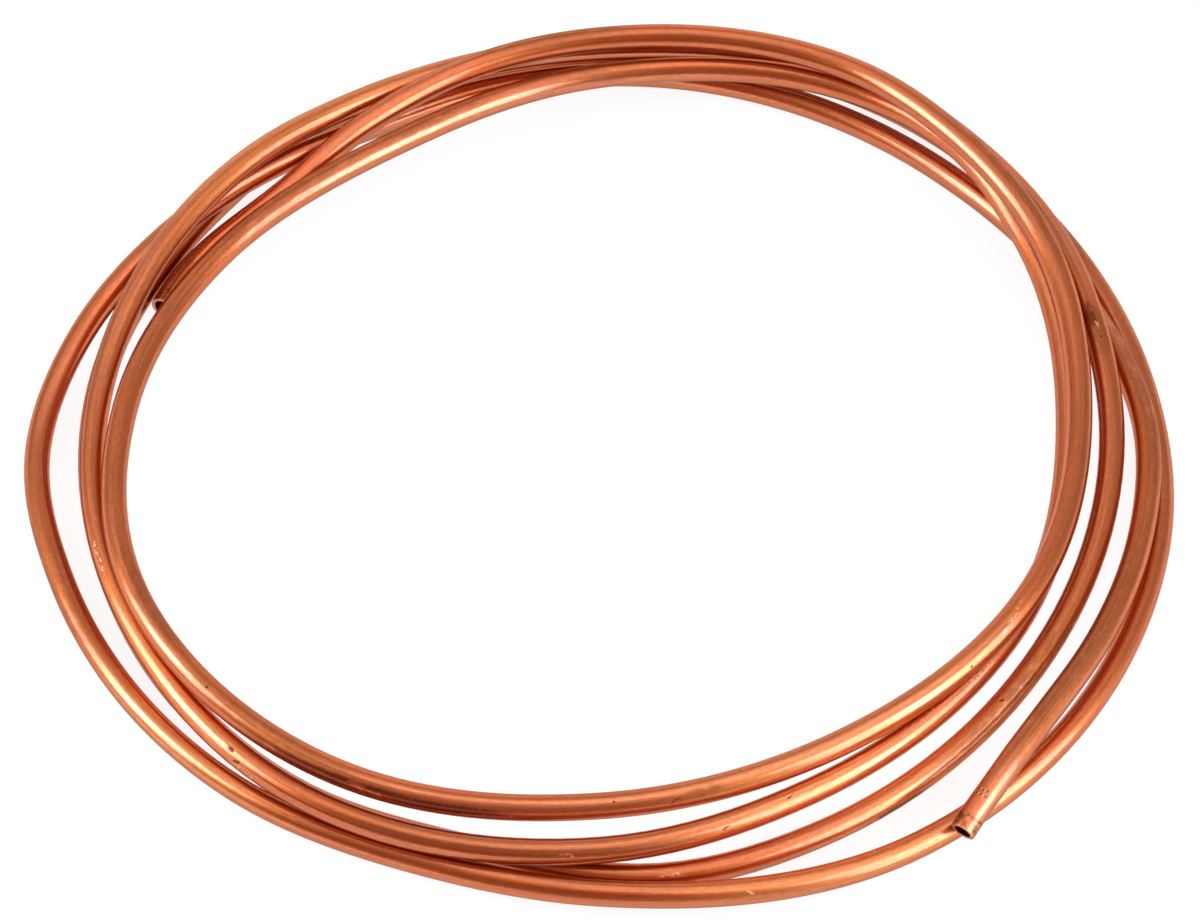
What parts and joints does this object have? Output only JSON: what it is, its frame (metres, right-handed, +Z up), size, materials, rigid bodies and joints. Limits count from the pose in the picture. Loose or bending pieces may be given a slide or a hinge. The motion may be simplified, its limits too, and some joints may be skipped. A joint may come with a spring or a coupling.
{
  "type": "copper tube coil",
  "caption": "Loose flat coil of soft copper tube with open turns and two plain square-cut ends, stock for bending into fluid, gas or refrigerant lines.",
  "frame": {"origin": "on the floor, under the middle of the coil's box", "axes": "+Z up, square to the plane the coil lies in; the tube winds clockwise seen from above as it climbs from its lower, inner end; that end lies on the coil's -X side, and the upper, outer end on its -Y side, towards +X, where it points to -Y and -X and slopes down a little"},
  "size_m": [0.3524, 0.3476, 0.0308],
  "materials": {
    "copper": "satin"
  },
  "bodies": {
    "root": {"copper_tube": "copper"}
  },
  "joints": []
}
